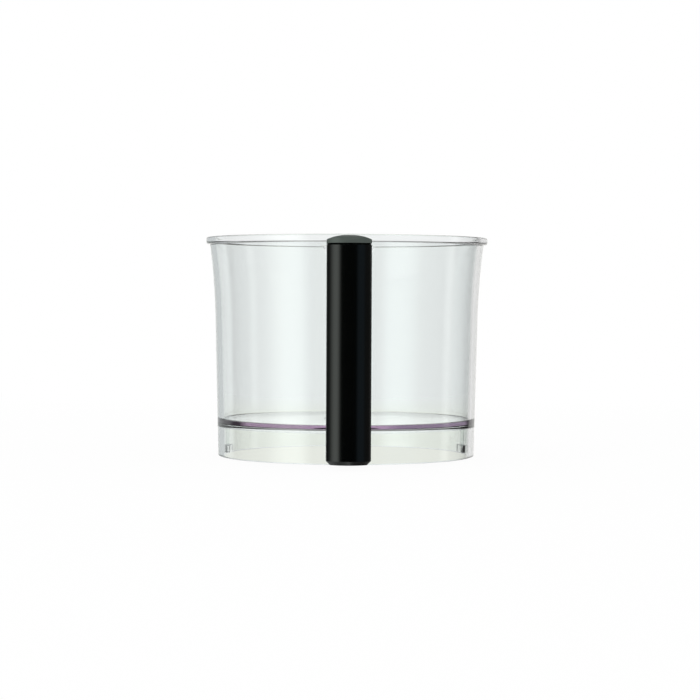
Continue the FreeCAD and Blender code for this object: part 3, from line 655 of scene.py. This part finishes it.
def makeWorld():
    world = bpy.data.worlds.new("studio")
    world.use_nodes = True
    world.cycles.sampling_method = "NONE"
    bpy.context.scene.world = world
    tree = world.node_tree
    tree.nodes.clear()
    rays, seen = whiteWhenSeen(tree)
    towards = addNode(tree, "ShaderNodeTexCoord")
    parts = addNode(tree, "ShaderNodeSeparateXYZ", {0: towards.outputs["Generated"]})
    back = addNode(tree, "ShaderNodeMath", {0: parts.outputs["Y"], 1: -1.0}, operation="MULTIPLY")
    azimuth = addNode(tree, "ShaderNodeMath", {
        0: parts.outputs["X"], 1: back.outputs[0]}, operation="ARCTAN2")
    share = addNode(tree, "ShaderNodeMapRange", {
        "Value": azimuth.outputs[0], "From Min": -math.pi, "From Max": math.pi})
    ring = addNode(tree, "ShaderNodeValToRGB", {0: share.outputs[0]})
    stops = ring.color_ramp.elements
    for index, (angle, level, tint) in enumerate(studio["ring"]):
        place = (angle + 180) / 360
        stop = stops[index] if index < 2 else stops.new(place)
        stop.position = place
        stop.color = tuple(level * part for part in studio["tints"][tint]) + (1,)
    upward = addNode(tree, "ShaderNodeMapRange", {
        "Value": parts.outputs["Z"], "From Min": studio["skyFrom"][0],
        "From Max": studio["skyFrom"][1]}, interpolation_type="SMOOTHSTEP")
    high = studio["overhead"]
    domed = addNode(tree, "ShaderNodeMix", {
        0: upward.outputs[0], 6: ring.outputs[0], 7: (high, high, high, 1)}, data_type="RGBA")
    plain = studio["plainLevel"]
    lit = addNode(tree, "ShaderNodeMix", {
        0: rays.outputs["Is Diffuse Ray"], 6: domed.outputs[2], 7: (plain, plain, plain, 1)},
        data_type="RGBA")
    lowDown = addNode(tree, "ShaderNodeMath", {0: 1.0, 1: upward.outputs[0]}, operation="SUBTRACT")
    backdrop = addNode(tree, "ShaderNodeMath", {0: seen, 1: lowDown.outputs[0]}, operation="MULTIPLY")
    whole = addNode(tree, "ShaderNodeMath", {
        0: backdrop.outputs[0], 1: rays.outputs["Is Camera Ray"]}, operation="MAXIMUM")
    shown = addNode(tree, "ShaderNodeMix", {
        0: whole.outputs[0], 6: lit.outputs[2], 7: (1, 1, 1, 1)}, data_type="RGBA")
    glow = addNode(tree, "ShaderNodeBackground", {"Color": shown.outputs[2], "Strength": 1.0})
    addNode(tree, "ShaderNodeOutputWorld", {"Surface": glow.outputs[0]})


table = {"half": 4.0, "drop": 0.0002, "glow": 0.96, "paintedShadeUnderBowl": 0.93, "paintedShadeEdge": (0.084, 0.090),
         "paintedWarmShade": (0.99, 1.0, 0.93), "paintedWarmShadeTo": (0.35, 0.80), "matt": (0.86, 0.86, 0.86, 1)}


# White table: bright where it is seen, matt for the light that it gives back, and with painted shade
# where it is seen through the bowl, a little darker and warmer, standing in for the bowl's own shade.
# It isn't there for mirrored light or from below
def makeFloor():
    material, tree = newMaterial("white_table", (1, 1, 1, 1))
    rays, seen = whiteWhenSeen(tree)
    place = addNode(tree, "ShaderNodeNewGeometry")
    parts = addNode(tree, "ShaderNodeSeparateXYZ", {0: place.outputs["Position"]})
    behind = addNode(tree, "ShaderNodeMapRange", {
        "Value": parts.outputs["Y"], "From Min": table["paintedWarmShadeTo"][0], "From Max": table["paintedWarmShadeTo"][1]})
    # Painted warm shade: the table seen through the bowl is tinted warm, fading out behind it
    paintedWarmShade = addNode(tree, "ShaderNodeMix", {
        0: behind.outputs[0], 6: table["paintedWarmShade"] + (1,), 7: (1, 1, 1, 1)}, data_type="RGBA")
    flat = addNode(tree, "ShaderNodeCombineXYZ", {0: parts.outputs["X"], 1: parts.outputs["Y"]})
    away = addNode(tree, "ShaderNodeVectorMath", {0: flat.outputs[0]}, operation="LENGTH")
    # Painted shade: the table seen through the bowl is darkened inside the circle of the bowl's foot
    shade = addNode(tree, "ShaderNodeMapRange", {
        "Value": away.outputs["Value"], "From Min": table["paintedShadeEdge"][0],
        "From Max": table["paintedShadeEdge"][1], "To Min": table["paintedShadeUnderBowl"], "To Max": 1.0})
    shaded = addNode(tree, "ShaderNodeVectorMath", {0: paintedWarmShade.outputs[2], "Scale": shade.outputs[0]},
                     operation="SCALE")
    shown = addNode(tree, "ShaderNodeMix", {
        0: rays.outputs["Is Camera Ray"], 6: shaded.outputs[0], 7: (1, 1, 1, 1)}, data_type="RGBA")
    matt = addNode(tree, "ShaderNodeBsdfDiffuse", {"Color": table["matt"]})
    glow = addNode(tree, "ShaderNodeEmission", {"Color": shown.outputs[2], "Strength": 1.0})
    even = addNode(tree, "ShaderNodeMapRange", {
        "Value": behind.outputs[0], "To Min": table["glow"], "To Max": 1.0})
    bright = addNode(tree, "ShaderNodeMixShader", {
        0: even.outputs[0], 1: matt.outputs[0], 2: glow.outputs[0]})
    usual = addNode(tree, "ShaderNodeMixShader", {0: seen, 1: matt.outputs[0], 2: bright.outputs[0]})
    mirrored = addNode(tree, "ShaderNodeMath", {
        0: rays.outputs["Glossy Depth"], 1: 0.5}, operation="GREATER_THAN")
    absent = addNode(tree, "ShaderNodeMath", {
        0: mirrored.outputs[0], 1: place.outputs["Backfacing"]}, operation="MAXIMUM")
    beyond = addNode(tree, "ShaderNodeBsdfTransparent")
    whole = addNode(tree, "ShaderNodeMixShader", {
        0: absent.outputs[0], 1: usual.outputs[0], 2: beyond.outputs[0]})
    addNode(tree, "ShaderNodeOutputMaterial", {"Surface": whole.outputs[0]})
    half, drop = table["half"], table["drop"]
    mesh = bpy.data.meshes.new("table")
    mesh.from_pydata([(x * half, y * half, -drop) for x, y in ((-1, -1), (1, -1), (1, 1), (-1, 1))],
                     [], [(0, 1, 2, 3)])
    mesh.materials.append(material)
    newObject("table", mesh)


lamps = {
    "softbox_left": {"azimuth": -44, "distance": 1.7, "height": 0.75, "size": (0.6, 1.2), "power": 9.0},
    "softbox_right": {"azimuth": 50, "distance": 2.0, "height": 0.7, "size": (0.8, 1.0), "power": 5.0},
}


def makeLamps():
    aim = Vector((0, 0, 0.08))
    for name, lamp in lamps.items():
        light = bpy.data.lights.new(name, "AREA")
        light.shape = "RECTANGLE"
        light.size, light.size_y = lamp["size"]
        light.energy = lamp["power"]
        made = newObject(name, light)
        angle = math.radians(lamp["azimuth"])
        made.location = (lamp["distance"] * math.sin(angle), -lamp["distance"] * math.cos(angle),
                         lamp["height"])
        made.rotation_euler = (aim - made.location).to_track_quat("-Z", "Y").to_euler()
        made.visible_camera = False
        made.visible_glossy = False
        made.visible_transmission = False


def makeCamera():
    lens = bpy.data.cameras.new("view")
    lens.lens = camera["lens"]
    lens.sensor_width = 36.0
    lens.clip_start = 0.05
    made = newObject("view", lens)
    turn = (Matrix.Rotation(math.radians(-camera["heading"]), 4, "Z")
            @ Matrix.Rotation(math.radians(90 + camera["pitch"]), 4, "X")
            @ Matrix.Rotation(math.radians(camera["roll"]), 4, "Z"))
    made.matrix_world = Matrix.Translation(camera["place"]) @ turn
    bpy.context.scene.camera = made


makeWorld()
makeFloor()
makeLamps()
makeCamera()
bpy.context.scene.view_settings.view_transform = "Standard"
print("studio set")
